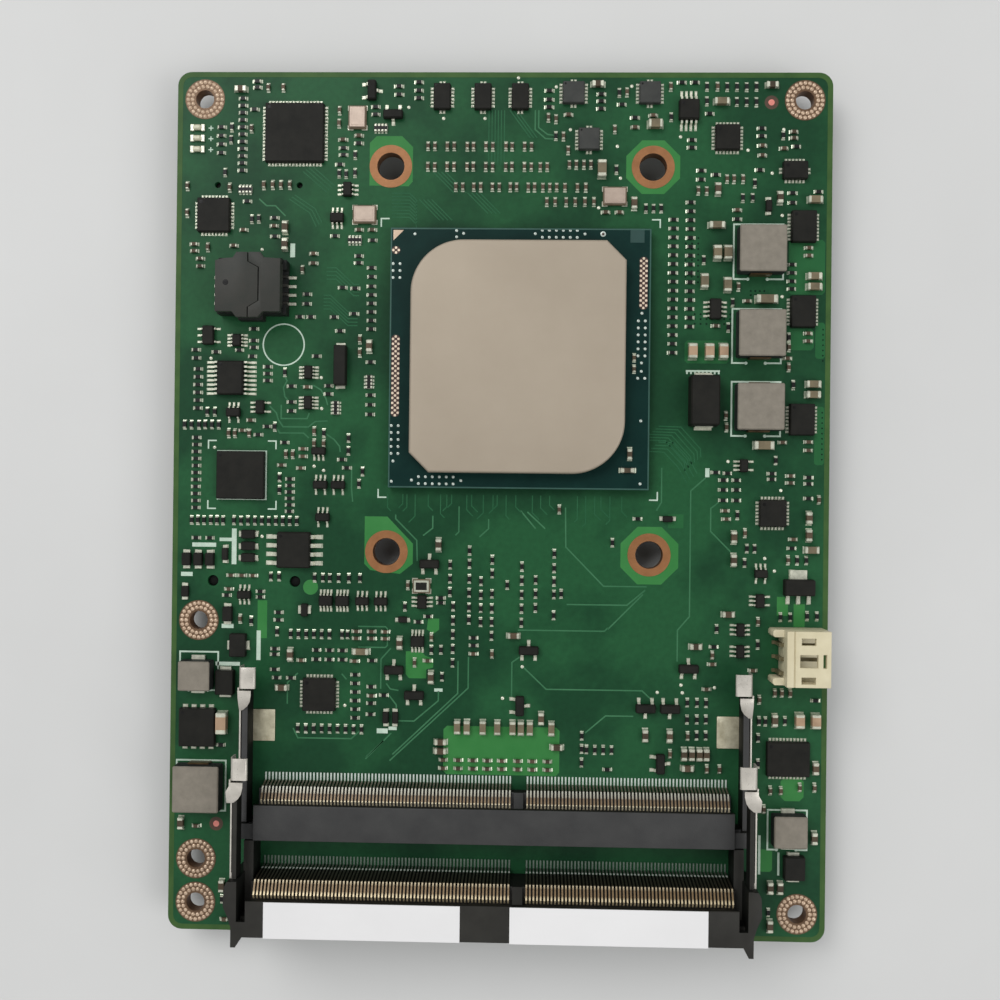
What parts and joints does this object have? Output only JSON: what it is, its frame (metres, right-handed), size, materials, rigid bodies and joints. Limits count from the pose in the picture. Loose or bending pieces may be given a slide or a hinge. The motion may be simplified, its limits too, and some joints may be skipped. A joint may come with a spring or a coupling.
{
  "type": "system on module",
  "caption": "Plug-in processor board with a lidded processor, stacked memory sockets with sprung latches, a clamshell flash socket and underside plugs.",
  "frame": {"origin": "middle of the four corner holes, on the board's underside", "axes": "+Z out of the component side, +Y towards the edge away from the memory sockets, +X to the right seen from the component side"},
  "size_m": [0.095, 0.125, 0.0153],
  "materials": {
    "board": "green solder resist over glass fibre laminate",
    "copper_land": "bare copper",
    "carrier": "green solder resist",
    "lid_metal": "nickel-plated, worn and matt",
    "die": "bare silicon, hidden under the lid",
    "solder": "solder",
    "socket_plastic": "dark grey moulding",
    "contact_metal": "thin gold over nickel",
    "latch_steel": "rolled stainless",
    "tinned_steel": "tinned",
    "label_film": "matt white film",
    "plug_plastic": "black moulding",
    "gold_contact": "gold plated",
    "header_plastic": "natural nylon",
    "tin": "tinned and soldered",
    "flash_base_plastic": "dark moulding",
    "flash_cover_plastic": "mid grey moulding",
    "chip_resin": "moulded resin",
    "coil_ferrite": "pressed metal powder",
    "clip_copper": "tinned copper",
    "crystal_ceramic": "brown ceramic",
    "crystal_lid_metal": "nickel silver",
    "light_resin": "clear resin",
    "resistor_ceramic": "dark glaze with tinned ends",
    "capacitor_ceramic": "tan ceramic with tinned ends"
  },
  "bodies": {
    "module": {"circuit_board": "board", "mounting_hole_lands": "copper_land", "spreader_hole_lands": "copper_land", "processor_substrate": "carrier", "processor_lid": "lid_metal", "processor_dies": "die", "processor_balls": "solder", "low_socket_housing": "socket_plastic", "tall_socket_housing": "socket_plastic", "low_front_contacts": "contact_metal", "low_rear_contacts": "contact_metal", "tall_front_contacts": "contact_metal", "tall_rear_contacts": "contact_metal", "low_hold_downs": "tinned_steel", "tall_hold_downs": "tinned_steel", "left_label": "label_film", "right_label": "label_film", "outer_plug_housing": "plug_plastic", "inner_plug_housing": "plug_plastic", "outer_plug_contacts": "gold_contact", "inner_plug_contacts": "gold_contact", "fan_header_housing": "header_plastic", "fan_header_pins": "tin", "flash_socket_contacts": "tin", "leadless_terminals": "tin", "gull_wing_leads": "tin", "logic_leads": "tin", "transistor_leads": "tin", "regulator_leads": "tin", "polymer_terminals": "tin", "diode_terminals": "tin", "flash_socket_base": "flash_base_plastic", "flash_chip": "chip_resin", "controller_chips": "chip_resin", "driver_chips": "chip_resin", "power_stage_chips": "chip_resin", "ball_grid_chip": "chip_resin", "gull_wing_chips": "chip_resin", "logic_chips": "chip_resin", "transistors": "chip_resin", "regulator": "chip_resin", "marked_diodes": "chip_resin", "polymer_capacitor": "chip_resin", "coils": "coil_ferrite", "coil_clips": "clip_copper", "crystal_bases": "crystal_ceramic", "crystal_lids": "crystal_lid_metal", "indicator_lights": "light_resin", "resistor_packs": "resistor_ceramic", "resistors": "resistor_ceramic", "processor_capacitors": "capacitor_ceramic", "small_capacitors": "capacitor_ceramic", "medium_capacitors": "capacitor_ceramic", "large_capacitors": "capacitor_ceramic"},
    "latch_low_left": {"low_left_latch": "latch_steel"},
    "latch_low_right": {"low_right_latch": "latch_steel"},
    "latch_tall_left": {"tall_left_latch": "latch_steel"},
    "latch_tall_right": {"tall_right_latch": "latch_steel"},
    "cover_left": {"flash_left_cover": "flash_cover_plastic"},
    "cover_right": {"flash_right_cover": "flash_cover_plastic"}
  },
  "joints": [
    {"name": "low_left_latch_spread", "type": "hinge", "parent": "module", "child": "latch_low_left", "pos_m": [-0.03638, -0.0471, 0.0047], "axis": [0, 0, 1], "range_deg": [0, 4], "stiffness_Nm_per_rad": 0.02},
    {"name": "low_right_latch_spread", "type": "hinge", "parent": "module", "child": "latch_low_right", "pos_m": [0.03602, -0.0471, 0.0047], "axis": [0, 0, -1], "range_deg": [0, 4], "stiffness_Nm_per_rad": 0.02},
    {"name": "tall_left_latch_spread", "type": "hinge", "parent": "module", "child": "latch_tall_left", "pos_m": [-0.03638, -0.0524, 0.0089], "axis": [0, 0, 1], "range_deg": [0, 4], "stiffness_Nm_per_rad": 0.02},
    {"name": "tall_right_latch_spread", "type": "hinge", "parent": "module", "child": "latch_tall_right", "pos_m": [0.03602, -0.0524, 0.0089], "axis": [0, 0, -1], "range_deg": [0, 4], "stiffness_Nm_per_rad": 0.02},
    {"name": "left_cover_hinge", "type": "hinge", "parent": "module", "child": "cover_left", "pos_m": [-0.0399, 0.0307, 0.0051], "axis": [0, -1, 0], "range_deg": [0, 100]},
    {"name": "right_cover_hinge", "type": "hinge", "parent": "module", "child": "cover_right", "pos_m": [-0.0316, 0.0307, 0.0051], "axis": [0, 1, 0], "range_deg": [0, 100]}
  ]
}
